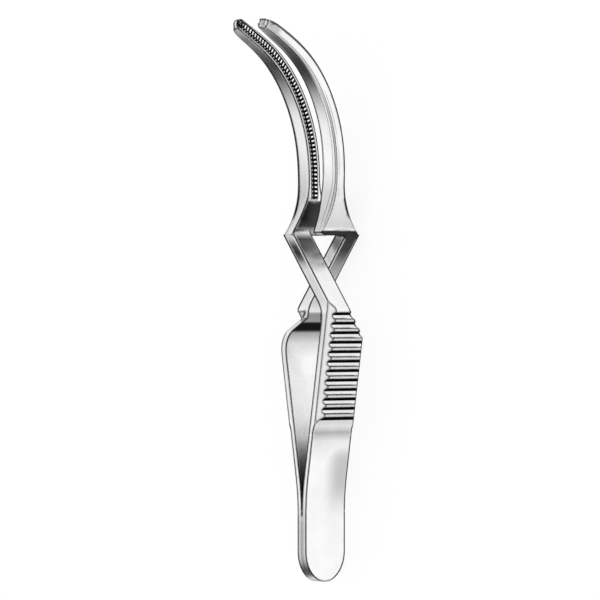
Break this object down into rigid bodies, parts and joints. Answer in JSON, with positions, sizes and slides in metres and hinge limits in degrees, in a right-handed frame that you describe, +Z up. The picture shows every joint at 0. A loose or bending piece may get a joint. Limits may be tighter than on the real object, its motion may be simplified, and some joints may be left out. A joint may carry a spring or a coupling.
{
  "type": "bulldog clamp",
  "caption": "Cross-action spring clamp with long curved jaws, grooved finger grips and two leaf-spring blades joined at a rounded tail.",
  "frame": {"origin": "on the plane that the clamp lies on, under the centre of the rounded tail, midway between the two leaves", "axes": "+Y from the tail to the jaws, +X across the opening, towards the over half's finger grip, +Z up across the width of the blades, the way the jaws curve"},
  "size_m": [0.0166, 0.1195, 0.0307],
  "materials": {
    "satin_steel": "satin",
    "polished_steel": "satin polished",
    "braze_metal": "matt"
  },
  "bodies": {
    "tail": {"over_tail": "satin_steel", "under_tail": "satin_steel", "tail_weld": "braze_metal", "over_leaf": "satin_steel", "under_leaf": "satin_steel"},
    "over_arm": {"over_arm": "polished_steel"},
    "under_arm": {"under_arm": "polished_steel"}
  },
  "joints": [
    {"name": "over_flex", "type": "hinge", "parent": "tail", "child": "over_arm", "pos_m": [0.00103, 0.01493, 0.0065], "axis": [0, 0, 1], "range_deg": [-1.6, 8.3], "stiffness_Nm_per_rad": 16.6, "springref_deg": -2, "deforming": ["over_leaf"]},
    {"name": "under_flex", "type": "hinge", "parent": "tail", "child": "under_arm", "pos_m": [-0.00103, 0.01493, 0.0065], "axis": [0, 0, -1], "range_deg": [-1.6, 8.3], "stiffness_Nm_per_rad": 16.6, "springref_deg": -2, "deforming": ["under_leaf"]}
  ],
  "couplings": [
    {"joint": "under_flex", "follows": "over_flex", "ratio": 1}
  ]
}
